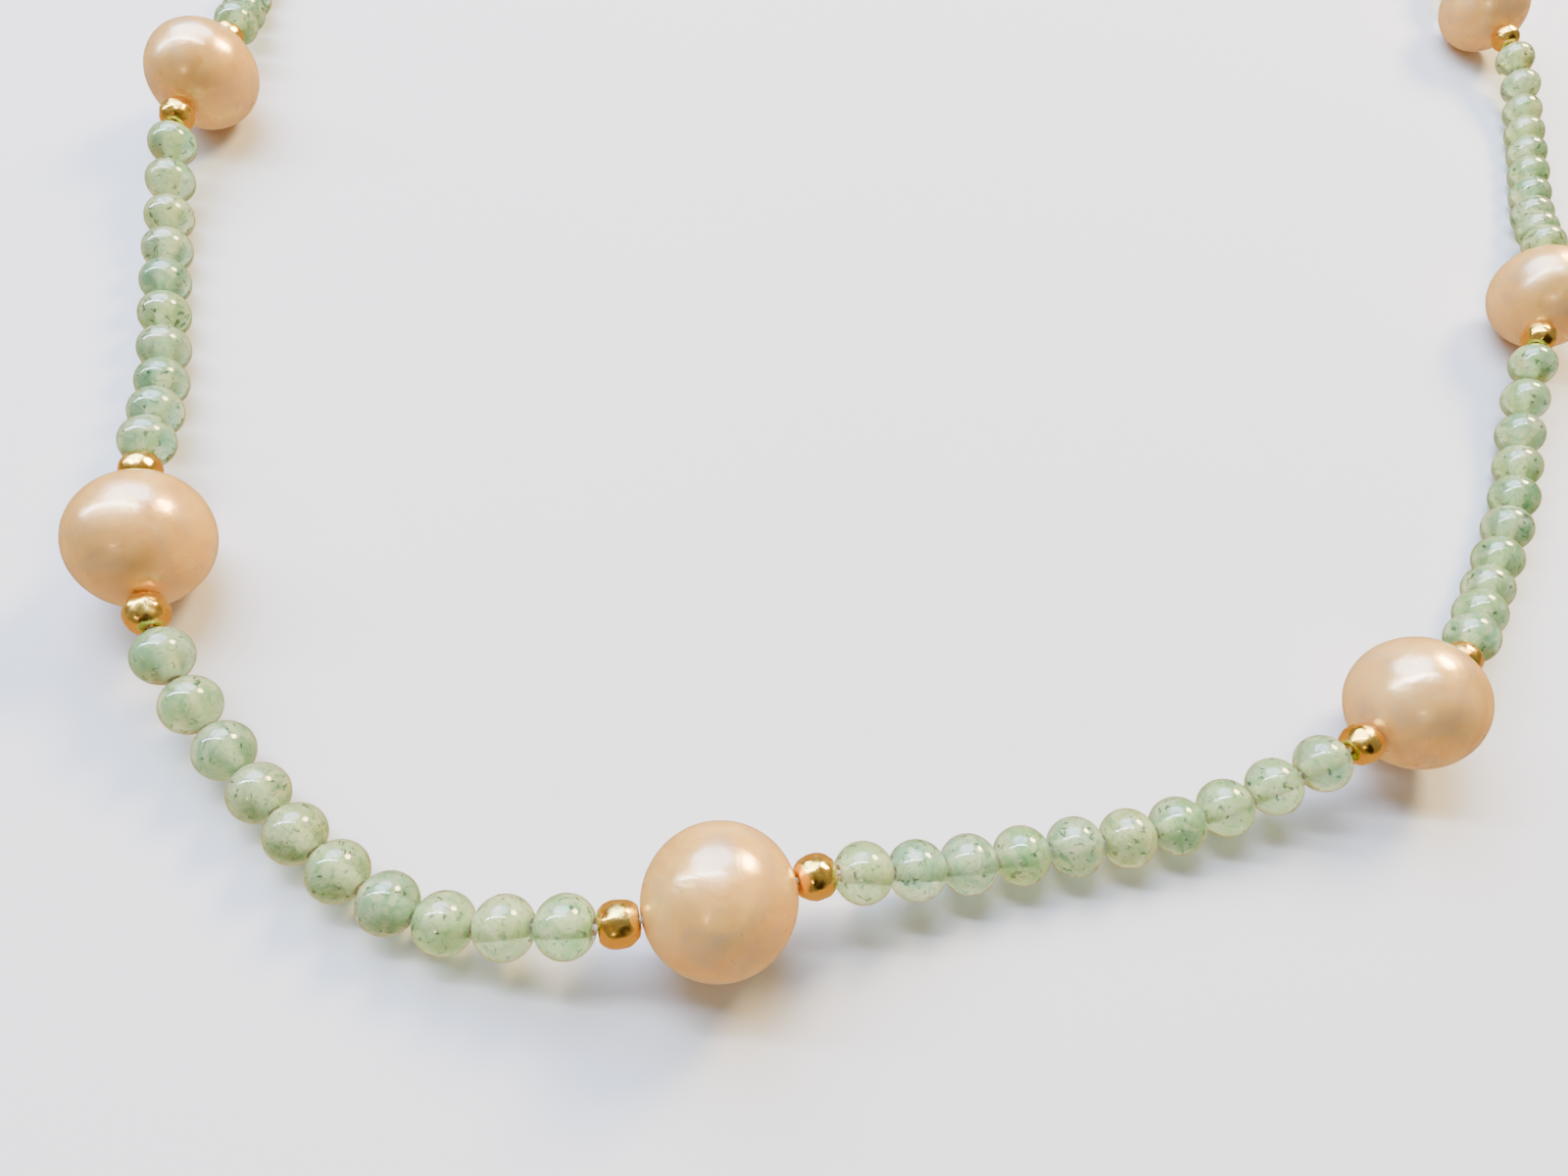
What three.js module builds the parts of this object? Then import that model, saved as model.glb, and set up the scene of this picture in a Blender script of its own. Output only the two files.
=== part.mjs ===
// A beaded necklace lying open on a flat surface, in millimetres, +Z up. Nine round pearls are spaced by
// ten runs of ten small green stone rounds, with a gold spacer on each side of each pearl. One thread
// passes through every bead, and its two ends go into a plain barrel clasp at the back. The front is
// towards -Y and the clasp towards +Y.

import * as THREE from 'three';

// ---- Driving dimensions ----

const PEARL_DIAMETER = 10;
const PEARLS_PER_SIDE = 4; // besides the front pearl
const ROUND_DIAMETER = 4.2;
const ROUND_PITCH = 4; // each green round is a little shorter than it is wide
const ROUNDS_PER_RUN = 10;
const RUN_NECK_DIAMETER = 1.9; // where two rounds of a run meet
const SPACER_DIAMETER = 3;
const SPACER_LENGTH = 2.5;
const CLASP_DIAMETER = 4.2;
const CLASP_LENGTH = 10;
const CLASP_END_DIAMETER = 2.8;
const CLASP_SHOULDER = 1; // the sloping length at each end of the barrel
const CLASP_BORE_DEPTH = 3.4;
const DRILL_DIAMETER = 1.1;
const THREAD_DIAMETER = 0.44;
const THREAD_END_GAP = 0.3; // between the thread's end and the bottom of the clasp's bore
const BEAD_GAP = 0.15; // bare thread between two pieces

// How the string lies. Each pearl rests on the surface and lifts the thread to its drill hole. The spacer
// next to it stays nearly in line with the hole, and the green rounds slope down from there to the
// surface.
const SLOPE_REACH = 15; // along the string, from a pearl to the first bead that lies flat

// The string's route in plan, as it was laid down. It starts at the front pearl and goes up the right
// side to the last pearl before the back, and the left side's list does the same.
const RIGHT_ROUTE = [
  { x: 6.1, y: 3.25 },
  { x: 10.3, y: 4.6 },
  { x: 15.6, y: 6.8 },
  { x: 22.5, y: 9.7 },
  { x: 31, y: 13.3 },
  { x: 47.2, y: 24.5 },
  { x: 55.8, y: 37 },
  { x: 62, y: 52 },
  { x: 65, y: 67.5 },
  { x: 68.8, y: 82 },
  { x: 72, y: 100 },
  { x: 73.4, y: 117.5 },
  { x: 69.6, y: 130 },
];
const LEFT_ROUTE = [
  { x: -6.6, y: -2.85 },
  { x: -11.2, y: -3.5 },
  { x: -17, y: -4.3 },
  { x: -23.5, y: -2.75 },
  { x: -30, y: 0.7 },
  { x: -40.8, y: 8.8 },
  { x: -47.2, y: 19 },
  { x: -52.8, y: 32 },
  { x: -60.2, y: 48 },
  { x: -65, y: 62 },
  { x: -66, y: 75 },
  { x: -71.2, y: 92 },
  { x: -73, y: 108 },
  { x: -70.6, y: 124 },
];
const BACK_ANGLES = [25, 52, 78, 102, 128, 155]; // degrees round the back's half ellipse, from its right end
const SHALLOWEST_BACK = 45;
const DEEPEST_BACK = 120;

// How round each meshed piece is.
const PEARL_SIDES = 14;
const PEARL_BANDS = 8;
const ROUND_SIDES = 10;
const SPACER_SIDES = 10;
const CLASP_SIDES = 12;
const THREAD_SIDES = 5;

const UP = new THREE.Vector3(0, 0, 1);

// ---- Materials ----

const pearlNacre = new THREE.MeshStandardMaterial({ color: 0xe6c9b4, roughness: 0.22, metalness: 0 });
const greenAventurine = new THREE.MeshStandardMaterial({ color: 0x9fb8a2, roughness: 0.18, metalness: 0 });
const polishedGold = new THREE.MeshStandardMaterial({ color: 0xd9a441, roughness: 0.2, metalness: 1 });
const creamThread = new THREE.MeshStandardMaterial({ color: 0xe4dcc3, roughness: 0.8, metalness: 0 });

// ---- The string's route ----

// The whole loop in plan for one depth of the hidden back, which is a half ellipse between the two last
// points.
function routeWithBack(depth) {
  const right = RIGHT_ROUTE[RIGHT_ROUTE.length - 1];
  const left = LEFT_ROUTE[LEFT_ROUTE.length - 1];
  const middle = { x: (right.x + left.x) / 2, y: (right.y + left.y) / 2 };
  const back = BACK_ANGLES.map((degrees) => {
    const angle = THREE.MathUtils.degToRad(degrees);
    return {
      x: middle.x + ((right.x - left.x) / 2) * Math.cos(angle),
      y: middle.y + ((right.y - left.y) / 2) * Math.cos(angle) + depth * Math.sin(angle),
    };
  });
  const loop = [{ x: 0, y: 0 }, ...RIGHT_ROUTE, ...back, ...LEFT_ROUTE.slice().reverse()];
  const points = loop.map(({ x, y }) => new THREE.Vector3(x, y, 0));
  return new THREE.CatmullRomCurve3(points, true, 'catmullrom', 0.5);
}

// The share of the route at which the straight distance from a point first reaches a span, going forwards
// (+1) or backwards (-1).
function stepAlong(route, share, from, span, direction) {
  let near = 0;
  let far = 0.08;
  for (let i = 0; i < 30; i += 1) {
    const middle = (near + far) / 2;
    const reached = route.getPoint(share + direction * middle);
    if (reached.distanceTo(from) < span) near = middle;
    else far = middle;
  }
  return share + direction * near;
}

// The thread's height at a distance along the string from the nearest pearl: level at the pearl's drill
// hole, and level again where the rounds lie on the surface.
function threadHeight(fromPearl) {
  const along = Math.min(1, fromPearl / SLOPE_REACH);
  const fallen = along ** 2 * (3 - 2 * along);
  return PEARL_DIAMETER / 2 + (ROUND_DIAMETER / 2 - PEARL_DIAMETER / 2) * fallen;
}

// The pieces strung on one side, from the front pearl to the clasp. spans are the straight lengths of
// thread in a piece, one for each bead.
function piecesOfSide() {
  const spacer = { kind: 'spacer', spans: [SPACER_LENGTH] };
  const run = { kind: 'run', spans: Array(ROUNDS_PER_RUN).fill(ROUND_PITCH) };
  const pearl = { kind: 'pearl', spans: [PEARL_DIAMETER] };
  const pieces = [];
  for (let i = 0; i < PEARLS_PER_SIDE; i += 1) pieces.push(spacer, run, spacer, pearl);
  pieces.push(spacer, run, spacer);
  return pieces;
}

// Lays one side's pieces along the route. Each piece gets its joints, the points where the thread enters
// and leaves its beads, and each joint is one straight span from the one before it.
function laySide(route, firstShare, firstJoint, direction) {
  const betweenPearls = ROUNDS_PER_RUN * ROUND_PITCH + 2 * SPACER_LENGTH + 4 * BEAD_GAP;
  let share = firstShare;
  let joint = firstJoint;
  let sincePearl = 0;
  let pearlsAhead = PEARLS_PER_SIDE;
  const advance = (span) => {
    sincePearl += span;
    const untilPearl = pearlsAhead > 0 ? betweenPearls - sincePearl : Infinity;
    const height = threadHeight(Math.min(sincePearl, untilPearl));
    const level = Math.sqrt(span ** 2 - (height - joint.z) ** 2);
    share = stepAlong(route, share, new THREE.Vector3(joint.x, joint.y, 0), level, direction);
    joint = route.getPoint(share).setZ(height);
    return joint;
  };
  const laid = piecesOfSide().map(({ kind, spans }) => {
    const start = advance(BEAD_GAP);
    if (kind === 'pearl') sincePearl = -spans[0];
    const joints = [start, ...spans.map(advance)];
    if (kind === 'pearl') pearlsAhead -= 1;
    return { kind, joints };
  });
  return { laid, share, end: joint };
}

// The whole string for one depth of the back: the front pearl, both sides, and how much thread is left
// over between the two ends once the clasp is in.
function layString(depth) {
  const route = routeWithBack(depth);
  const centre = route.getPoint(0);
  const leftShare = stepAlong(route, 0, centre, PEARL_DIAMETER / 2, -1);
  const leftMouth = route.getPoint(leftShare);
  const rightShare = stepAlong(route, leftShare, leftMouth, PEARL_DIAMETER, 1);
  const rightMouth = route.getPoint(rightShare);
  leftMouth.setZ(PEARL_DIAMETER / 2);
  rightMouth.setZ(PEARL_DIAMETER / 2);
  const right = laySide(route, rightShare, rightMouth, 1);
  const left = laySide(route, leftShare, leftMouth, -1);
  const open = Math.sign(1 + left.share - right.share) * left.end.distanceTo(right.end);
  return { front: [leftMouth, rightMouth], right, left, spare: open - CLASP_LENGTH - 2 * BEAD_GAP };
}

// A deeper back leaves more room for the clasp, so halving the range finds the depth where it just fits.
function layClosedString() {
  let shallow = SHALLOWEST_BACK;
  let deep = DEEPEST_BACK;
  for (let i = 0; i < 30; i += 1) {
    const depth = (shallow + deep) / 2;
    if (layString(depth).spare > 0) deep = depth;
    else shallow = depth;
  }
  return layString((shallow + deep) / 2);
}

// ---- Profiles, each as [radius, distance along the string] ----

function lathe(outline, sides) {
  const points = outline.map(([radius, along]) => new THREE.Vector2(radius, along));
  return new THREE.LatheGeometry(points, sides);
}

// A drilled ball: an arc from one drill mouth to the other, closed by the drill hole's wall.
function pearlGeometry() {
  const radius = PEARL_DIAMETER / 2;
  const mouth = Math.asin(DRILL_DIAMETER / PEARL_DIAMETER);
  const outline = [];
  for (let i = 0; i <= PEARL_BANDS; i += 1) {
    const angle = mouth + ((Math.PI - 2 * mouth) * i) / PEARL_BANDS;
    outline.push([radius * Math.sin(angle), -radius * Math.cos(angle)]);
  }
  return lathe([...outline, outline[0]], PEARL_SIDES);
}

// A drilled spacer: a band at full width between two sloping faces.
function spacerGeometry() {
  const hole = DRILL_DIAMETER / 2;
  const radius = SPACER_DIAMETER / 2;
  const end = SPACER_LENGTH / 2;
  const band = end * 0.6;
  const outline = [[hole, -end], [radius, -band], [radius, band], [hole, end]];
  return lathe([...outline, outline[0]], SPACER_SIDES);
}

// A barrel with a sloping shoulder at each end and a blind bore for each end of the thread.
function claspGeometry() {
  const hole = DRILL_DIAMETER / 2;
  const radius = CLASP_DIAMETER / 2;
  const end = CLASP_LENGTH / 2;
  const bottom = end - CLASP_BORE_DEPTH;
  const shoulder = end - CLASP_SHOULDER;
  const tip = CLASP_END_DIAMETER / 2;
  const outline = [
    [0, -bottom], [hole, -bottom], [hole, -end], [tip, -end], [radius, -shoulder],
    [radius, shoulder], [tip, end], [hole, end], [hole, bottom], [0, bottom],
  ];
  return lathe(outline, CLASP_SIDES);
}

// A straight run of fused rounds from 0 along the string, drilled through. Every round has a ring at each
// neck, at each shoulder and round its middle, and the drill hole has a ring at each neck, so that the
// run can bend there.
function straightRunGeometry() {
  const radius = ROUND_DIAMETER / 2;
  const shoulder = ROUND_PITCH * 0.3;
  const shoulderRadius = Math.sqrt(radius ** 2 - shoulder ** 2);
  const outline = [[RUN_NECK_DIAMETER / 2, 0]];
  const hole = [];
  for (let i = 0; i < ROUNDS_PER_RUN; i += 1) {
    const middle = (i + 0.5) * ROUND_PITCH;
    outline.push([shoulderRadius, middle - shoulder], [radius, middle], [shoulderRadius, middle + shoulder]);
    outline.push([RUN_NECK_DIAMETER / 2, (i + 1) * ROUND_PITCH]);
    hole.unshift([DRILL_DIAMETER / 2, i * ROUND_PITCH]);
  }
  hole.unshift([DRILL_DIAMETER / 2, ROUNDS_PER_RUN * ROUND_PITCH]);
  return lathe([...outline, ...hole, outline[0]], ROUND_SIDES);
}

// ---- Placing ----

// The frame of a bead between two joints: Y along the thread, Z as nearly up as that allows.
function frameBetween(from, to, origin) {
  const along = to.clone().sub(from).normalize();
  const sideways = along.clone().cross(UP).normalize();
  const top = sideways.clone().cross(along);
  return new THREE.Matrix4().makeBasis(sideways, along, top).setPosition(origin);
}

function placed(name, geometry, material, matrix) {
  const mesh = new THREE.Mesh(geometry, material);
  mesh.name = name;
  matrix.decompose(mesh.position, mesh.quaternion, mesh.scale);
  return mesh;
}

function pearlMesh(name, [from, to]) {
  const centre = from.clone().lerp(to, 0.5);
  return placed(name, pearlGeometry(), pearlNacre, frameBetween(from, to, centre));
}

function spacerMesh(name, [from, to]) {
  const centre = from.clone().lerp(to, 0.5);
  return placed(name, spacerGeometry(), polishedGold, frameBetween(from, to, centre));
}

function claspMesh(name, from, to) {
  const centre = from.clone().lerp(to, 0.5);
  return placed(name, claspGeometry(), polishedGold, frameBetween(from, to, centre));
}

// Bends a straight run along its joints. A ring between two joints follows their bead's frame, and a ring
// at a joint lies halfway between the frames of the two beads that meet there.
function runMesh(name, joints) {
  const frames = joints.slice(1).map((joint, i) => frameBetween(joints[i], joint, joints[i]));
  const geometry = straightRunGeometry();
  const position = geometry.attributes.position;
  const place = (vertex, bead) => {
    const inBead = new THREE.Vector3(vertex.x, vertex.y - bead * ROUND_PITCH, vertex.z);
    return inBead.applyMatrix4(frames[bead]);
  };
  for (let i = 0; i < position.count; i += 1) {
    const vertex = new THREE.Vector3().fromBufferAttribute(position, i);
    const before = Math.ceil(vertex.y / ROUND_PITCH - 0.01) - 1;
    const after = Math.floor(vertex.y / ROUND_PITCH + 0.01);
    const first = THREE.MathUtils.clamp(before, 0, ROUNDS_PER_RUN - 1);
    const second = THREE.MathUtils.clamp(after, 0, ROUNDS_PER_RUN - 1);
    const bent = place(vertex, first).lerp(place(vertex, second), 0.5);
    position.setXYZ(i, bent.x, bent.y, bent.z);
  }
  const mesh = new THREE.Mesh(geometry, greenAventurine);
  mesh.name = name;
  return mesh;
}

// Straight from each point to the next, with every point a step of the extrusion.
class ThreadPath extends THREE.Curve {
  constructor(points) {
    super();
    this.points = points;
  }

  getPoint(share) {
    const last = this.points.length - 1;
    const place = THREE.MathUtils.clamp(share, 0, 1) * last;
    const index = Math.min(Math.floor(place), last - 1);
    return this.points[index].clone().lerp(this.points[index + 1], place - index);
  }

  getUtoTmapping(share) {
    return share;
  }
}

function threadMesh(name, points) {
  const section = new THREE.Shape();
  const corners = [];
  for (let i = 0; i < THREAD_SIDES; i += 1) {
    const angle = (2 * Math.PI * i) / THREAD_SIDES;
    corners.push(new THREE.Vector2(Math.cos(angle), Math.sin(angle)).multiplyScalar(THREAD_DIAMETER / 2));
  }
  section.setFromPoints(corners);
  const extrudePath = new ThreadPath(points);
  const geometry = new THREE.ExtrudeGeometry(section, { steps: points.length - 1, extrudePath });
  const mesh = new THREE.Mesh(geometry, creamThread);
  mesh.name = name;
  return mesh;
}

// ---- The necklace ----

const { front, right, left } = layClosedString();
const necklace = new THREE.Group();

// Pieces are named by side and counted from the front.
function addSide(sideName, laid) {
  const counts = { pearl: 0, spacer: 0, run: 0 };
  const build = { pearl: pearlMesh, spacer: spacerMesh, run: runMesh };
  const nodeNames = { pearl: 'pearl', spacer: 'spacer', run: 'green_run' };
  for (const { kind, joints } of laid) {
    counts[kind] += 1;
    necklace.add(build[kind](`${nodeNames[kind]}_${sideName}_${counts[kind]}`, joints));
  }
}

necklace.add(pearlMesh('pearl_front', front));
addSide('right', right.laid);
addSide('left', left.laid);
necklace.add(claspMesh('clasp', right.end, left.end));

// The thread goes from the bottom of the clasp's left bore round the front to the bottom of its right
// one. It has a point where it enters each bead.
const claspAlong = left.end.clone().sub(right.end).normalize();
const threadInClasp = BEAD_GAP + CLASP_BORE_DEPTH - THREAD_END_GAP;
const entries = (laid) => laid.flatMap(({ joints }) => joints.slice(0, -1));
necklace.add(threadMesh('thread', [
  left.end.clone().addScaledVector(claspAlong, -threadInClasp),
  left.end,
  ...entries(left.laid).reverse(),
  ...front,
  ...entries(right.laid),
  right.end,
  right.end.clone().addScaledVector(claspAlong, threadInClasp),
]));

// The origin is under the middle of the necklace, on the surface that it lies on.
const middle = new THREE.Box3().setFromObject(necklace, true).getCenter(new THREE.Vector3());
necklace.position.set(-middle.x, -middle.y, 0);

export default necklace;
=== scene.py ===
import math
import random

import bpy
from mathutils import Matrix, Vector, noise


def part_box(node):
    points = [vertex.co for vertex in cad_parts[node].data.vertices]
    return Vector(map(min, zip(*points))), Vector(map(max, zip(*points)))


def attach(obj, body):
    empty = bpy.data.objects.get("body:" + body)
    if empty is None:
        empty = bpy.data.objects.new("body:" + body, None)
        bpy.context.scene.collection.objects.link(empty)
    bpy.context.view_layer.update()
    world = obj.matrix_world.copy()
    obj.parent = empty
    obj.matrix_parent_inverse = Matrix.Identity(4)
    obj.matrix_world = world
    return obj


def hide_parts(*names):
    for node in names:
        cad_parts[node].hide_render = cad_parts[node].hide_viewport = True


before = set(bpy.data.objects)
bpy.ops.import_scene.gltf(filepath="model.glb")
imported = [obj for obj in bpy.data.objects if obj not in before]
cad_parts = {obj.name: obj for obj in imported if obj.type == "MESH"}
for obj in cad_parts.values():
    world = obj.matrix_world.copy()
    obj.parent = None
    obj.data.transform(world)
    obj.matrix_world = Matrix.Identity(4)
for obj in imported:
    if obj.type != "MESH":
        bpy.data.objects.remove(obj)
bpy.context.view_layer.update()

MM = 0.001
UP = Vector((0, 0, 1))

# ---- Sizes, as in the CAD ----

PEARL_DIAMETER = 10 * MM
PEARLS_PER_SIDE = 4
ROUND_DIAMETER = 4.2 * MM
ROUND_PITCH = 4 * MM
ROUNDS_PER_RUN = 10
SPACER_DIAMETER = 3 * MM
SPACER_LENGTH = 2.5 * MM
CLASP_DIAMETER = 4.2 * MM
CLASP_LENGTH = 10 * MM
CLASP_BORE_DEPTH = 3.4 * MM
DRILL_DIAMETER = 1.1 * MM
ROUND_DRILL_DIAMETER = 1.0 * MM
THREAD_DIAMETER = 0.44 * MM
THREAD_END_GAP = 0.3 * MM
BEAD_GAP = 0.15 * MM
SLOPE_REACH = 15 * MM

# ---- The string's route in plan, as in the CAD, from the front pearl up each side ----

RIGHT_ROUTE = [
    (6.1, 3.25),
    (10.3, 4.6),
    (15.6, 6.8),
    (22.5, 9.7),
    (31, 13.3),
    (47.2, 24.5),
    (55.8, 37),
    (62, 52),
    (65, 67.5),
    (68.8, 82),
    (72, 100),
    (73.4, 117.5),
    (69.6, 130),
]
LEFT_ROUTE = [
    (-6.6, -2.85),
    (-11.2, -3.5),
    (-17, -4.3),
    (-23.5, -2.75),
    (-30, 0.7),
    (-40.8, 8.8),
    (-47.2, 19),
    (-52.8, 32),
    (-60.2, 48),
    (-65, 62),
    (-66, 75),
    (-71.2, 92),
    (-73, 108),
    (-70.6, 124),
]
BACK_ANGLES = [25, 52, 78, 102, 128, 155]
SHALLOWEST_BACK = 45 * MM
DEEPEST_BACK = 120 * MM
HALVINGS = 30  # of each search along the route or for the back's depth
LONGEST_STEP = 0.08  # of the route's stretches, farther than any piece reaches


def flat_point(x, y):
    """A point of the route in metres from the front pearl."""
    return Vector((x * MM, y * MM, 0))


def route_with_back(depth):
    """The whole loop for one depth of the back, which is a half ellipse between the two last points."""
    right = flat_point(*RIGHT_ROUTE[-1])
    left = flat_point(*LEFT_ROUTE[-1])
    middle = (right + left) / 2
    back = []
    for degrees in BACK_ANGLES:
        angle = math.radians(degrees)
        across = (right - left) / 2 * math.cos(angle)
        back.append(middle + across + Vector((0, depth * math.sin(angle), 0)))
    right_side = [flat_point(*point) for point in RIGHT_ROUTE]
    left_side = [flat_point(*point) for point in reversed(LEFT_ROUTE)]
    return [Vector((0, 0, 0)), *right_side, *back, *left_side]


def point_on(route, share):
    """A point on the closed smooth curve through the route's points, at a share of its stretches."""
    place = share * len(route)
    index = math.floor(place)
    t = place - index
    before, start, end, after = (route[(index + i) % len(route)] for i in (-1, 0, 1, 2))
    leaving = (end - before) / 2
    arriving = (after - start) / 2
    cubic = start * 2 - end * 2 + leaving + arriving
    square = end * 3 - start * 3 - leaving * 2 - arriving
    return start + leaving * t + square * t ** 2 + cubic * t ** 3


def step_along(route, share, start, span, direction):
    """The share at which the straight distance from start first reaches span."""
    near = 0
    far = LONGEST_STEP
    for _ in range(HALVINGS):
        middle = (near + far) / 2
        if (point_on(route, share + direction * middle) - start).length < span:
            near = middle
        else:
            far = middle
    return share + direction * near


def thread_height(from_pearl):
    """The thread's height at a distance along the string from the nearest pearl."""
    along = min(1, from_pearl / SLOPE_REACH)
    fallen = along ** 2 * (3 - 2 * along)
    return PEARL_DIAMETER / 2 + (ROUND_DIAMETER / 2 - PEARL_DIAMETER / 2) * fallen


def pieces_of_side():
    """Each piece's kind and the straight lengths of thread in it, from the front pearl to the clasp."""
    spacer = ("spacer", [SPACER_LENGTH])
    run = ("run", [ROUND_PITCH] * ROUNDS_PER_RUN)
    pearl = ("pearl", [PEARL_DIAMETER])
    return [spacer, run, spacer, pearl] * PEARLS_PER_SIDE + [spacer, run, spacer]


def lay_side(route, share, joint, direction):
    """Each piece's kind and joints on one side, the share reached, and the last joint."""
    between_pearls = ROUNDS_PER_RUN * ROUND_PITCH + 2 * SPACER_LENGTH + 4 * BEAD_GAP
    since_pearl = 0
    pearls_ahead = PEARLS_PER_SIDE
    laid = []
    for kind, spans in pieces_of_side():
        joints = []
        for number, span in enumerate([BEAD_GAP, *spans]):
            if kind == "pearl" and number == 1:
                since_pearl = -span
            since_pearl += span
            until_pearl = between_pearls - since_pearl if pearls_ahead else math.inf
            height = thread_height(min(since_pearl, until_pearl))
            level = math.sqrt(span ** 2 - (height - joint.z) ** 2)
            share = step_along(route, share, Vector((joint.x, joint.y, 0)), level, direction)
            joint = point_on(route, share) + UP * height
            joints.append(joint)
        if kind == "pearl":
            pearls_ahead -= 1
        laid.append((kind, joints))
    return laid, share, joint


def lay_string(depth):
    """The front pearl's joints, both sides, and the thread to spare once the clasp is in."""
    route = route_with_back(depth)
    left_share = step_along(route, 0, point_on(route, 0), PEARL_DIAMETER / 2, -1)
    left_mouth = point_on(route, left_share)
    right_share = step_along(route, left_share, left_mouth, PEARL_DIAMETER, 1)
    right_mouth = point_on(route, right_share)
    front = [left_mouth + UP * PEARL_DIAMETER / 2, right_mouth + UP * PEARL_DIAMETER / 2]
    right = lay_side(route, right_share, front[1], 1)
    left = lay_side(route, left_share, front[0], -1)
    between = (left[2] - right[2]).length
    spare = math.copysign(between, 1 + left[1] - right[1]) - CLASP_LENGTH - 2 * BEAD_GAP
    return front, right[0], left[0], spare


def lay_closed_string():
    """The string with its back just deep enough for the clasp, moved to where the CAD has it."""
    shallow = SHALLOWEST_BACK
    deep = DEEPEST_BACK
    for _ in range(HALVINGS):
        depth = (shallow + deep) / 2
        if lay_string(depth)[3] > 0:
            deep = depth
        else:
            shallow = depth
    front, right, left, _ = lay_string((shallow + deep) / 2)
    low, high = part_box("pearl_front")
    centre = (Vector(low) + Vector(high)) / 2
    here = (front[0] + front[1]) / 2
    shift = Vector((centre.x - here.x, centre.y - here.y, 0))

    def move(laid):
        return [(kind, [joint + shift for joint in joints]) for kind, joints in laid]

    return [joint + shift for joint in front], move(right), move(left)


# ---- Mesh helpers ----

RIM_TURNS = (0.4, 0.8, 1.2, math.pi / 2)  # radians round the rounded rim of a drill hole
WALL_SHARES = (0.25, 0.5, 0.75)  # where the wall of a drill hole has its rings


def across_and_top(along):
    """The level direction across a thread direction, and the one that is as nearly up as that allows."""
    sideways = along.cross(UP).normalized()
    return sideways, sideways.cross(along)


def frame_between(start, end):
    """A bead's frame midway between two joints: Y along the thread and Z as nearly up as that allows."""
    along = (end - start).normalized()
    sideways, top = across_and_top(along)
    turn = Matrix((sideways, along, top)).transposed().to_4x4()
    return Matrix.Translation((start + end) / 2) @ turn


def placed_points(points, matrix):
    return [matrix @ point for point in points]


def revolve(outline, sides):
    """Points and faces of a closed outline of (radius, along) turned round Y."""
    points = []
    faces = []
    rings = len(outline)
    for side in range(sides):
        angle = 2 * math.pi * side / sides
        for radius, along in outline:
            points.append(Vector((radius * math.sin(angle), along, radius * math.cos(angle))))
    for side in range(sides):
        here = side * rings
        there = (side + 1) % sides * rings
        for ring in range(rings):
            after = (ring + 1) % rings
            faces.append((here + ring, there + ring, there + after, here + after))
    return points, faces


def revolve_capped(outline, sides):
    """As revolve, for an outline whose first and last points lie on the axis."""
    points = [Vector((0, outline[0][1], 0)), Vector((0, outline[-1][1], 0))]
    faces = []
    rings = outline[1:-1]
    for side in range(sides):
        angle = 2 * math.pi * side / sides
        points += [Vector((r * math.sin(angle), y, r * math.cos(angle))) for r, y in rings]
    for side in range(sides):
        here = 2 + side * len(rings)
        there = 2 + (side + 1) % sides * len(rings)
        faces.append((0, there, here))
        for ring in range(len(rings) - 1):
            faces.append((here + ring, there + ring, there + ring + 1, here + ring + 1))
        faces.append((1, here + len(rings) - 1, there + len(rings) - 1))
    return points, faces


def add_object(name, data):
    """A new object, linked to the scene."""
    thing = bpy.data.objects.new(name, data)
    bpy.context.scene.collection.objects.link(thing)
    return thing


def make_piece(name, points, faces, material, nodes):
    """A smooth piece that rides on the root body and stands for the CAD nodes named."""
    mesh = bpy.data.meshes.new(name)
    mesh.from_pydata(points, [], faces)
    mesh.shade_smooth()
    mesh.materials.append(material)
    piece = add_object(name, mesh)
    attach(piece, "root")
    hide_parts(*nodes)
    return piece


def drilled_outline(arc, hole, rim):
    """Closes an arc, from one end of a bead to the other, with a rounded rim and a drill hole."""
    first = arc[0][1]
    last = arc[-1][1]
    corners = [(rim * (1 - math.sin(turn)), rim * (1 - math.cos(turn))) for turn in RIM_TURNS]
    far_rim = [(hole + out, last - down) for out, down in corners]
    near_rim = [(hole + out, first + down) for out, down in reversed(corners)]
    wall = [(hole, last + (first - last) * share) for share in WALL_SHARES]
    return arc + far_rim + wall + near_rim


# ---- Bead shapes ----

# Every HOLE is a drill hole's radius, and every RIM is the radius of the rounding at its mouth.
PEARL_HOLE = THREAD_DIAMETER * 0.8
PEARL_RIM = 0.16 * MM
PEARL_BANDS = 56
PEARL_SIDES = 72
PEARL_SWELLS = ((0.9, 0.035), (2.2, 0.012))  # the scale of each undulation, and its height in millimetres
PEARL_INSET = 0.02  # millimetres off the radius, to offset most of the undulations

SPACER_HOLE = THREAD_DIAMETER * 0.75
SPACER_RIM = 0.1 * MM
SPACER_BANDS = 25
SPACER_SIDES = 48
SPACER_SWELL = 0.03 * MM  # added to the radius
SPACER_INTO_GAP = 0.4  # how much of the bead gap each end takes up
SPACER_END_RADIUS = 0.8 * MM
SPACER_END_RINGS = (0.62, 0.86)  # shares of the end's radius
SPACER_END_CURVE = 0.01 * MM
SPACER_FULLNESS = 0.9  # below 1 the belly is fuller than a ball's
SPACER_SQUARENESS = 0.94  # below 1 each ring sits nearer to its end of the bead
HAMMER_SCALE = 2.3
HAMMER_DEPTH = 0.07  # millimetres
SPACER_INSET = 0.02  # millimetres off the radius

ROUND_RIM = 0.12 * MM
ROUND_BANDS = 26
ROUND_SIDES = 36
ROUND_OUT_OF_GAP = 0.6  # how much of the bead gap each end gives up
OUTER_RIM_BANDS = 2  # bands of the rim that stay polished
ROUND_SIZE_SPREAD = 0.02  # the share by which a round may be smaller
ROUND_LARGEST_TURN = 6.28  # radians
ROUNDS_SEED = 11

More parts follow.
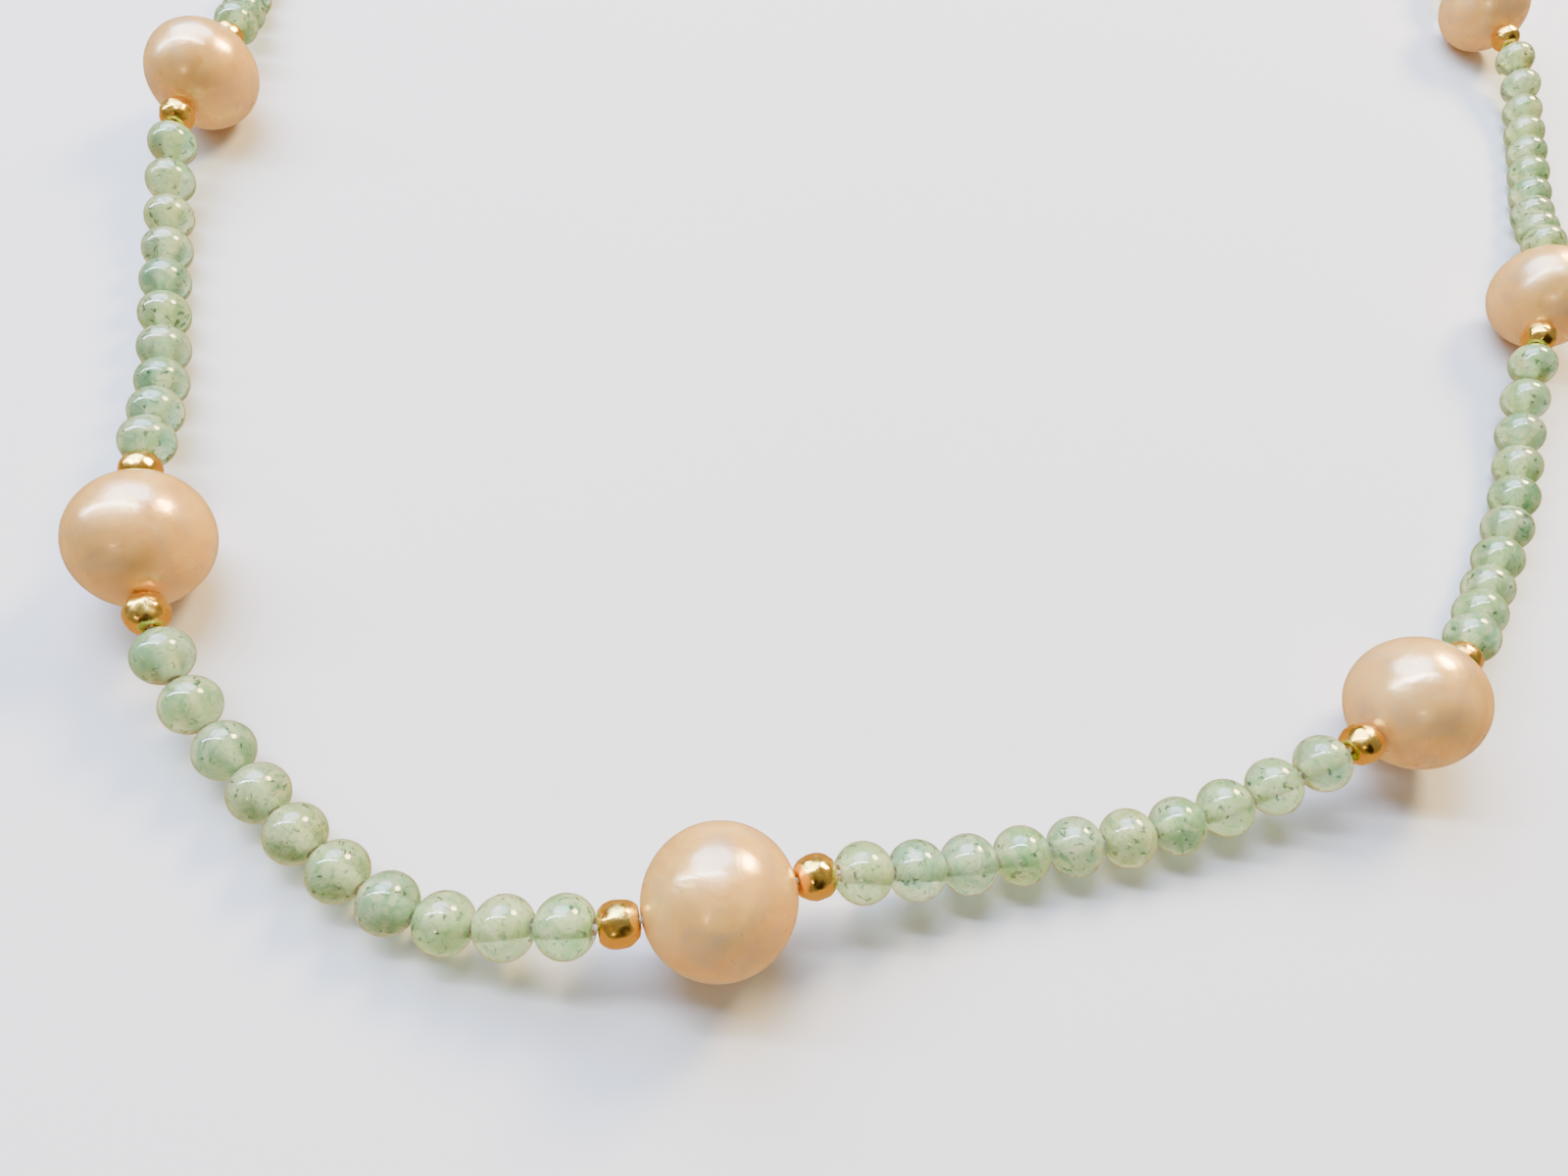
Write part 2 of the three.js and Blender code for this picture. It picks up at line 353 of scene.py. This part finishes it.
CLASP_SIDES = 56
CLASP_RIM = 0.12 * MM
CLASP_TIP_RADIUS = 1.25 * MM
CLASP_SHOULDER = 1.3 * MM
CLASP_SHOULDER_BANDS = 12
CLASP_GROOVE_WAIST = 0.955  # the groove's radius, as a share of the barrel's
CLASP_GROOVE_MOUTH = 0.35 * MM  # half of the groove's width at the surface
CLASP_GROOVE_FLOOR = 0.2 * MM  # half of its width at the bottom

CORD_STEP = 0.34 * MM
CORD_TURN = 0.62  # radians from one section to the next
CORD_SIDES = 10
CORD_WAIST = 0.62  # the radius between the two plies, as a share of the cord's
CORD_BULGE = 0.38


def ball_arc(radius, half_length, mouth_radius, bands):
    """The outside of a ball a little shortened along its drill hole, from mouth to mouth."""
    start = math.asin(mouth_radius / radius)
    arc = []
    for band in range(bands + 1):
        angle = start + (math.pi - 2 * start) * band / bands
        arc.append((radius * math.sin(angle), -half_length * math.cos(angle) / math.cos(start)))
    return arc


def pearl_shape(number):
    """A near-round pearl with slow undulations of its own."""
    radius = PEARL_DIAMETER / 2
    arc = ball_arc(radius, radius, PEARL_HOLE + PEARL_RIM, PEARL_BANDS)
    points, faces = revolve(drilled_outline(arc, PEARL_HOLE, PEARL_RIM), PEARL_SIDES)
    seed = Vector((number * 7.3, 1.7, 4.1))
    for point in points:
        outward = point.normalized()
        swell = sum(noise.noise(outward * scale + seed) * height for scale, height in PEARL_SWELLS)
        point += outward * (swell - PEARL_INSET) * MM * min(1, point.length / radius)
    return points, faces


def spacer_shape(number):
    """A short gold bead: round, with softly flattened ends and a lightly hammered surface."""
    radius = SPACER_DIAMETER / 2 + SPACER_SWELL
    half = SPACER_LENGTH / 2 + BEAD_GAP * SPACER_INTO_GAP
    start = math.asin(SPACER_END_RADIUS / radius)
    inner, outer = (SPACER_END_RADIUS * share for share in SPACER_END_RINGS)
    flat_end = [(SPACER_HOLE + SPACER_RIM, -half), (inner, -half), (outer, -half + SPACER_END_CURVE)]
    arc = list(flat_end)
    for band in range(1, SPACER_BANDS):
        angle = start + (math.pi - 2 * start) * band / SPACER_BANDS
        reach = math.cos(angle) / math.cos(start)
        along = -half * math.copysign(abs(reach) ** SPACER_SQUARENESS, reach)
        arc.append((radius * math.sin(angle) ** SPACER_FULLNESS, along))
    arc += [(out, -along) for out, along in reversed(flat_end)]
    points, faces = revolve(drilled_outline(arc, SPACER_HOLE, SPACER_RIM), SPACER_SIDES)
    seed = Vector((number * 3.9, 8.2, 0.6))
    for point in points:
        dent = noise.noise(point / radius * HAMMER_SCALE + seed) * HAMMER_DEPTH
        point += point.normalized() * (dent - SPACER_INSET) * MM
    return points, faces


def round_shape(radius):
    """A drilled ball, and which of its faces are the ground wall of the drill hole."""
    hole = ROUND_DRILL_DIAMETER / 2
    half_length = ROUND_PITCH / 2 - BEAD_GAP * ROUND_OUT_OF_GAP
    arc = ball_arc(radius, half_length, hole + ROUND_RIM, ROUND_BANDS)
    outline = drilled_outline(arc, hole, ROUND_RIM)
    points, faces = revolve(outline, ROUND_SIDES)
    first_wall = len(arc) + OUTER_RIM_BANDS
    return points, faces, [number % len(outline) >= first_wall for number in range(len(faces))]


def clasp_shape():
    """A plain barrel with rounded shoulders, a groove round its middle and a blind bore in each end."""
    hole = DRILL_DIAMETER / 2
    radius = CLASP_DIAMETER / 2
    end = CLASP_LENGTH / 2
    bottom = end - CLASP_BORE_DEPTH
    shoulder = []
    for band in range(CLASP_SHOULDER_BANDS + 1):
        turn = math.pi / 2 * band / CLASP_SHOULDER_BANDS
        out = CLASP_TIP_RADIUS + (radius - CLASP_TIP_RADIUS) * math.sin(turn)
        shoulder.append((out, -end + CLASP_SHOULDER * (1 - math.cos(turn))))
    groove = [(radius, -CLASP_GROOVE_MOUTH), (radius * CLASP_GROOVE_WAIST, -CLASP_GROOVE_FLOOR)]
    mouth = [(0, -bottom), (hole, -bottom), (hole, -end + CLASP_RIM), (hole + CLASP_RIM, -end)]
    half = mouth + shoulder + groove
    return revolve_capped(half + [(out, -along) for out, along in reversed(half)], CLASP_SIDES)


# ---- Materials ----


class Nodes:
    """A node tree, with short calls to add and link nodes."""

    def __init__(self, tree):
        self.tree = tree

    def add(self, kind, **settings):
        node = self.tree.nodes.new(kind)
        for key, value in settings.items():
            setattr(node, key, value)
        return node

    def link(self, source, target):
        self.tree.links.new(source, target)

    def ramp(self, factor, *stops):
        """A colour ramp with stops of (position, colour), where a colour may be one number for a grey."""
        node = self.add("ShaderNodeValToRGB")
        elements = node.color_ramp.elements
        while len(elements) < len(stops):
            elements.new(0.5)
        for element, (position, colour) in zip(elements, stops):
            element.position = position
            element.color = (*colour, 1) if isinstance(colour, tuple) else (colour, colour, colour, 1)
        self.link(factor, node.inputs["Fac"])
        return node.outputs["Color"]

    def mix(self, factor, first, second, blend="MIX"):
        """A colour mix, where each of the three may be a socket, a colour or a number."""
        node = self.add("ShaderNodeMix", data_type="RGBA", blend_type=blend)
        for index, value in ((0, factor), (6, first), (7, second)):  # the factor and colour sockets
            socket = node.inputs[index]
            if isinstance(value, bpy.types.NodeSocket):
                self.link(value, socket)
            elif isinstance(value, tuple):
                socket.default_value = (*value, 1)
            else:
                socket.default_value = value
        return node.outputs[2]


class MaterialNodes(Nodes):
    """The nodes of a new material, which take their place on the piece from its own coordinates."""

    def __init__(self, name):
        self.material = bpy.data.materials.new(name)
        self.material.use_nodes = True
        super().__init__(self.material.node_tree)
        self.shader = self.tree.nodes["Principled BSDF"]
        self.place = self.add("ShaderNodeTexCoord").outputs["Object"]

    def set(self, **values):
        for name, value in values.items():
            self.shader.inputs[name.replace("_", " ")].default_value = value

    def drive(self, name, source):
        """Feeds one of the shader's sockets from another node."""
        self.link(source, self.shader.inputs[name])

    def noise(self, scale, detail=3, roughness=0.5, distortion=0):
        node = self.add("ShaderNodeTexNoise")
        node.inputs["Scale"].default_value = scale
        node.inputs["Detail"].default_value = detail
        node.inputs["Roughness"].default_value = roughness
        node.inputs["Distortion"].default_value = distortion
        self.link(self.place, node.inputs["Vector"])
        return node.outputs["Fac"]

    def bump(self, height, strength, distance, under=None):
        node = self.add("ShaderNodeBump")
        node.inputs["Strength"].default_value = strength
        node.inputs["Distance"].default_value = distance
        self.link(height, node.inputs["Height"])
        if under:
            self.link(under, node.inputs["Normal"])
        return node.outputs["Normal"]


def nacre():
    """Champagne-pink nacre: cloudy colour, a faint blush, grey-brown clouds of painted reflection, small
    pits, and slow waves.
    """
    champagne = ((0.78, 0.41, 0.085), (0.93, 0.50, 0.10), (1.0, 0.61, 0.155))
    blush_pink = (0.94, 0.52, 0.20)
    painted_reflection_grey = (0.56, 0.37, 0.21)
    pit_brown = (0.34, 0.20, 0.12)
    nodes = MaterialNodes("pearl_nacre")
    clouds = nodes.noise(scale=260, detail=4, roughness=0.6, distortion=1.0)
    colour = nodes.ramp(clouds, *zip((0.32, 0.5, 0.7), champagne))
    flush = nodes.noise(scale=90, detail=2, roughness=0.5, distortion=0.3)
    blush = nodes.ramp(flush, (0.42, 0.0), (0.66, 0.35))
    colour = nodes.mix(blush, colour, blush_pink)
    # grey-brown clouds painted into the base colour: a painted reflection of a dark surround in the nacre
    painted_reflection_clouds = nodes.noise(scale=240, detail=2, roughness=0.5, distortion=1.0)
    painted_reflection_mask = nodes.ramp(painted_reflection_clouds, (0.46, 0.0), (0.72, 0.6))
    colour = nodes.mix(painted_reflection_mask, colour, painted_reflection_grey)
    pits = nodes.ramp(nodes.noise(scale=3400, detail=1, roughness=0.4), (0.21, 0.6), (0.228, 0.0))
    colour = nodes.mix(pits, colour, pit_brown)
    nodes.drive("Base Color", colour)
    rough = nodes.ramp(nodes.noise(scale=380), (0.3, 0.24), (0.75, 0.42))
    nodes.drive("Roughness", rough)
    undulation = nodes.noise(scale=400, roughness=0.55, distortion=0.9)
    waves = nodes.bump(undulation, strength=0.30, distance=0.22 * MM)
    skin = nodes.bump(nodes.noise(scale=2200, detail=2), strength=0.14, distance=0.05 * MM, under=waves)
    nodes.drive("Normal", skin)
    nodes.drive("Coat Normal", waves)
    nodes.set(Subsurface_Weight=0.3, Subsurface_Radius=(1.0, 0.55, 0.28), Subsurface_Scale=1.3 * MM)
    nodes.set(IOR=2.0)
    nodes.set(Coat_Weight=0.9, Coat_Roughness=0.17, Coat_IOR=1.6, Metallic=0.32)
    return nodes.material


def aventurine():
    """Milky, translucent green stone, tinted round by round, with clouds, thin veins and dark flecks."""
    tints = ((0.44, 0.67, 0.27), (0.32, 0.59, 0.24), (0.31, 0.57, 0.34), (0.56, 0.69, 0.26))
    milk_cream = (0.86, 0.88, 0.52)
    deep_green = (0.14, 0.38, 0.19)
    vein_green = (0.22, 0.42, 0.24)
    fleck_green = (0.035, 0.12, 0.06)
    nodes = MaterialNodes("green_aventurine")
    tint = nodes.add("ShaderNodeAttribute", attribute_name="tint").outputs["Fac"]
    stone = nodes.ramp(tint, *zip((0.0, 0.35, 0.65, 1.0), tints))
    swirls = nodes.noise(scale=420, detail=5, roughness=0.65, distortion=1.2)
    milk = nodes.ramp(swirls, (0.42, 0.0), (0.60, 0.8))
    colour = nodes.mix(milk, stone, milk_cream)
    depths = nodes.noise(scale=640, detail=4, roughness=0.65, distortion=1.8)
    deep = nodes.ramp(depths, (0.53, 0.0), (0.66, 0.75))
    colour = nodes.mix(deep, colour, deep_green)
    vein_lines = nodes.noise(scale=380, roughness=0.6, distortion=2.5)
    veins = nodes.ramp(vein_lines, (0.475, 0.0), (0.5, 0.5), (0.525, 0.0))
    colour = nodes.mix(veins, colour, vein_green)
    specks = nodes.noise(scale=1900, detail=2, roughness=0.55, distortion=0.6)
    flecks = nodes.ramp(specks, (0.61, 0.0), (0.66, 0.9))
    colour = nodes.mix(flecks, colour, fleck_green)
    nodes.drive("Base Color", colour)
    rough = nodes.ramp(nodes.noise(scale=700, detail=2), (0.3, 0.12), (0.7, 0.2))
    nodes.drive("Roughness", rough)
    nodes.set(IOR=1.5, Transmission_Weight=0.7, Subsurface_Weight=0.9)
    nodes.set(Subsurface_Radius=(0.8, 1.0, 0.85), Subsurface_Scale=1.0 * MM)
    nodes.set(Coat_Weight=0.6, Coat_Roughness=0.04)
    skin = nodes.bump(nodes.noise(scale=800, detail=2), strength=0.08, distance=0.10 * MM)
    nodes.drive("Normal", skin)
    return nodes.material


def ground_stone():
    """The matt, chalky wall of a drill hole, which shows through the stone as a pale band."""
    cream = (0.93, 0.85, 0.60)
    chalk = (1.0, 0.96, 0.78)
    nodes = MaterialNodes("ground_stone")
    nodes.drive("Base Color", nodes.ramp(nodes.noise(scale=1800), (0.3, cream), (0.7, chalk)))
    nodes.drive("Normal", nodes.bump(nodes.noise(scale=5000, detail=2), strength=0.3, distance=0.04 * MM))
    nodes.set(Roughness=0.8)
    return nodes.material


def gold():
    """Warm yellow gold, unevenly worn, with a lightly hammered surface."""
    red_gold = (0.90, 0.47, 0.07)
    yellow_gold = (1.0, 0.65, 0.12)
    pale_gold = (1.0, 0.76, 0.23)
    nodes = MaterialNodes("polished_gold")
    wear = nodes.noise(scale=650, detail=4, roughness=0.6, distortion=0.7)
    nodes.drive("Base Color", nodes.ramp(wear, (0.3, red_gold), (0.5, yellow_gold), (0.75, pale_gold)))
    nodes.drive("Roughness", nodes.ramp(nodes.noise(scale=1300, roughness=0.6), (0.35, 0.14), (0.7, 0.34)))
    dents = nodes.noise(scale=900, detail=2, roughness=0.5, distortion=0.4)
    nodes.drive("Normal", nodes.bump(dents, strength=0.4, distance=0.12 * MM))
    nodes.set(Metallic=1.0)
    return nodes.material


def cord_material():
    """A cream bead cord with a fine fibrous surface."""
    shaded_cream = (0.62, 0.55, 0.40)
    cream = (0.84, 0.78, 0.62)
    nodes = MaterialNodes("cream_thread")
    fibre = nodes.noise(scale=2500, detail=2)
    nodes.drive("Base Color", nodes.ramp(fibre, (0.3, shaded_cream), (0.7, cream)))
    nodes.drive("Normal", nodes.bump(nodes.noise(scale=9000, detail=2), strength=0.4, distance=0.05 * MM))
    nodes.set(Roughness=0.85, Sheen_Weight=0.2)
    return nodes.material


# ---- Laying the pieces ----


def add_pearl(node, joints, number, material):
    points, faces = pearl_shape(number)
    matrix = frame_between(joints[0], joints[-1])
    make_piece("nacre_" + node, placed_points(points, matrix), faces, material, [node])


def add_spacer(node, joints, number, material):
    points, faces = spacer_shape(number)
    matrix = frame_between(joints[0], joints[-1])
    make_piece("polished_" + node, placed_points(points, matrix), faces, material, [node])


def add_run(node, joints, material, ground_material, chance):
    """Ten separate rounds, each a little different in size, turn and tint."""
    all_points = []
    all_faces = []
    all_walls = []
    tints = []
    for start, end in zip(joints, joints[1:]):
        size = 1 - ROUND_SIZE_SPREAD * chance.random()
        points, faces, walls = round_shape(ROUND_DIAMETER / 2 * size)
        turn = Matrix.Rotation(chance.uniform(0, ROUND_LARGEST_TURN), 4, "Y")
        matrix = frame_between(start, end) @ turn
        first = len(all_points)
        all_points += placed_points(points, matrix)
        all_faces += [tuple(first + corner for corner in face) for face in faces]
        all_walls += walls
        tints += [chance.random()] * len(points)
    piece = make_piece("aventurine_" + node, all_points, all_faces, material, [node])
    attribute = piece.data.attributes.new("tint", "FLOAT", "POINT")
    attribute.data.foreach_set("value", tints)
    piece.data.materials.append(ground_material)
    piece.data.polygons.foreach_set("material_index", [int(wall) for wall in all_walls])


def add_clasp(start, end, material):
    points, faces = clasp_shape()
    matrix = frame_between(start, end)
    make_piece("barrel_clasp", placed_points(points, matrix), faces, material, ["clasp"])


def add_cord(path, material):
    """Two plies twisted together along the path: an oval section that turns as it goes."""
    places = []
    for start, end in zip(path, path[1:]):
        count = max(1, round((end - start).length / CORD_STEP))
        places += [(start.lerp(end, i / count), (end - start).normalized()) for i in range(count)]
    places.append((path[-1], (path[-1] - path[-2]).normalized()))
    points = []
    faces = []
    for number, (centre, along) in enumerate(places):
        sideways, top = across_and_top(along)
        for side in range(CORD_SIDES):
            angle = 2 * math.pi * side / CORD_SIDES
            ply = CORD_WAIST + CORD_BULGE * abs(math.cos(angle))
            radius = THREAD_DIAMETER / 2 * ply
            turned = angle + number * CORD_TURN
            points.append(centre + sideways * radius * math.cos(turned) + top * radius * math.sin(turned))
        if number:
            here = number * CORD_SIDES
            before = here - CORD_SIDES
            for side in range(CORD_SIDES):
                after = (side + 1) % CORD_SIDES
                faces.append((here + side, here + after, before + after, before + side))
    faces.append(tuple(range(CORD_SIDES)))
    faces.append(tuple(reversed(range(len(points) - CORD_SIDES, len(points)))))
    make_piece("twisted_cord", points, faces, material, ["thread"])


def build_necklace():
    """Lays every piece, and gives the middle of the front pearl."""
    front, right, left = lay_closed_string()
    nacre_material = nacre()
    stone_material = aventurine()
    ground_material = ground_stone()
    gold_material = gold()
    chance = random.Random(ROUNDS_SEED)
    add_pearl("pearl_front", front, 0, nacre_material)
    number = 0
    for side, laid in (("right", right), ("left", left)):
        counts = {"pearl": 0, "spacer": 0, "run": 0}
        for kind, joints in laid:
            counts[kind] += 1
            number += 1
            if kind == "pearl":
                add_pearl(f"pearl_{side}_{counts[kind]}", joints, number, nacre_material)
            elif kind == "spacer":
                add_spacer(f"spacer_{side}_{counts[kind]}", joints, number, gold_material)
            else:
                add_run(f"green_run_{side}_{counts[kind]}", joints, stone_material, ground_material, chance)
    right_end = right[-1][1][-1]
    left_end = left[-1][1][-1]
    add_clasp(right_end, left_end, gold_material)
    into_clasp = (left_end - right_end).normalized() * (BEAD_GAP + CLASP_BORE_DEPTH - THREAD_END_GAP)
    right_path = [joint for _, joints in right for joint in joints]
    left_path = [joint for _, joints in left for joint in joints]
    path = [left_end - into_clasp, *reversed(left_path), *front, *right_path, right_end + into_clasp]
    add_cord(path, cord_material())
    return (front[0] + front[1]) / 2


# ---- Floor, lights and camera ----

CAMERA_LENS = 25.87  # millimetres, on a sensor 36 mm wide
CAMERA_FROM_FRONT_PEARL = Vector((0.48, -21.56, 75.71)) * MM  # its height is above the floor
CAMERA_DOWN = 57.22  # degrees
CAMERA_YAW = 0.87
CAMERA_ROLL = 11.22
SENSOR_WIDTH = 36
NEAREST_SEEN = 2 * MM

FLOOR_REACH = 20
FLOOR_COLOUR = (0.72, 0.71, 0.69, 1)

LIGHTS_BEYOND_FRONT_PEARL = 60 * MM  # the lights face this far behind the front pearl, on the floor
LONG_SIDE = Vector((1, 0.16, 0.1))  # the way that every light's longer axis runs

WORLD_STRENGTH = 0.29
WORLD_BELOW = (2.8, 1.62, 0.68)
WORLD_ABOVE = (0.92, 0.82, 0.68)
HORIZON_BLEND = 0.003
DIM_PATCH_TOWARDS = Vector((0.39, -0.68, 0.62)).normalized()
DIM_PATCH_EDGE = 0.83  # cosines of the angle from the middle of the patch
DIM_PATCH_CORE = 0.90
DIM_PATCH_COLOUR = (0.12, 0.085, 0.06)
WHITE = (1, 1, 1)
BACKDROP_COLOUR = (0.90, 0.89, 0.87)


def add_camera(front_pearl):
    data = bpy.data.cameras.new("camera")
    data.lens = CAMERA_LENS
    data.sensor_width = SENSOR_WIDTH
    data.clip_start = NEAREST_SEEN
    camera = add_object("camera", data)
    place = Vector((front_pearl.x, front_pearl.y, 0)) + CAMERA_FROM_FRONT_PEARL
    yaw = Matrix.Rotation(math.radians(CAMERA_YAW), 4, "Z")
    down = Matrix.Rotation(math.radians(90 - CAMERA_DOWN), 4, "X")
    roll = Matrix.Rotation(math.radians(CAMERA_ROLL), 4, "Z")
    camera.matrix_world = Matrix.Translation(place) @ yaw @ down @ roll
    bpy.context.scene.camera = camera


def add_floor():
    mesh = bpy.data.meshes.new("floor")
    corners = [(-FLOOR_REACH, -FLOOR_REACH, 0), (FLOOR_REACH, -FLOOR_REACH, 0)]
    corners += [(FLOOR_REACH, FLOOR_REACH, 0), (-FLOOR_REACH, FLOOR_REACH, 0)]
    mesh.from_pydata(corners, [], [(0, 1, 2, 3)])
    nodes = MaterialNodes("pale_floor")
    nodes.set(Base_Color=FLOOR_COLOUR, Roughness=0.75)
    mesh.materials.append(nodes.material)
    floor = add_object("floor", mesh)
    floor.visible_glossy = False  # the beads mirror the warm lower half of the world instead


def add_area_light(name, target, towards, distance, size, power, colour):
    """An elliptical light in a direction from the target, facing it."""
    data = bpy.data.lights.new(name, "AREA")
    data.shape = "ELLIPSE"
    data.size, data.size_y = size
    data.energy = power
    data.color = colour
    light = add_object(name, data)
    away = Vector(towards).normalized()
    up = away.cross(LONG_SIDE).normalized()
    turn = Matrix((up.cross(away), up, away)).transposed().to_4x4()
    light.matrix_world = Matrix.Translation(target + away * distance) @ turn
    return light


def add_lights(front_pearl):
    target = Vector((front_pearl.x, front_pearl.y + LIGHTS_BEYOND_FRONT_PEARL, 0))
    add_area_light(
        "window", target, towards=(-0.36, 0.60, 0.71), distance=0.9,
        size=(0.9, 0.62), power=23, colour=(0.52, 0.65, 1.0),
    )
    add_area_light(
        "sill", target, towards=(-0.52, 0.20, 0.83), distance=0.9,
        size=(1.5, 0.05), power=19, colour=(0.70, 0.80, 1.0),
    )
    add_area_light(
        "lamp", target, towards=(0.41, 0.68, 0.61), distance=0.9,
        size=(0.28, 0.28), power=19, colour=(1.0, 0.74, 0.38),
    )
    add_area_light(
        "glint", target, towards=(-0.18, -0.74, 0.65), distance=0.9,
        size=(0.06, 0.05), power=0.5, colour=(1.0, 0.70, 0.34),
    )
    fill = add_area_light(
        "fill", target, towards=(0.5, -0.6, 0.9), distance=1.6,
        size=(2.2, 2.2), power=7, colour=(1.0, 0.82, 0.58),
    )
    fill.visible_glossy = False  # so that it leaves no highlight of its own


def add_world():
    """Soft light, warm from below, with a dim patch for the beads to mirror and a plain grey backdrop."""
    world = bpy.data.worlds.new("studio")
    world.use_nodes = True
    nodes = Nodes(world.node_tree)
    way = nodes.add("ShaderNodeTexCoord").outputs["Generated"]
    split = nodes.add("ShaderNodeSeparateXYZ")
    nodes.link(way, split.inputs[0])
    height = nodes.ramp(split.outputs["Z"], (0.0, WORLD_BELOW), (HORIZON_BLEND, WORLD_ABOVE))
    towards = nodes.add("ShaderNodeVectorMath", operation="DOT_PRODUCT")
    towards.inputs[1].default_value = DIM_PATCH_TOWARDS
    nodes.link(way, towards.inputs[0])
    nearness = towards.outputs["Value"]
    patch = nodes.ramp(nearness, (DIM_PATCH_EDGE, WHITE), (DIM_PATCH_CORE, DIM_PATCH_COLOUR))
    light = nodes.mix(1, height, patch, blend="MULTIPLY")
    seen = nodes.add("ShaderNodeLightPath").outputs["Is Camera Ray"]
    background = nodes.tree.nodes["Background"]
    nodes.link(nodes.mix(seen, light, BACKDROP_COLOUR), background.inputs["Color"])
    background.inputs["Strength"].default_value = WORLD_STRENGTH
    bpy.context.scene.world = world


front_pearl = build_necklace()
add_camera(front_pearl)
add_floor()
add_lights(front_pearl)
add_world()
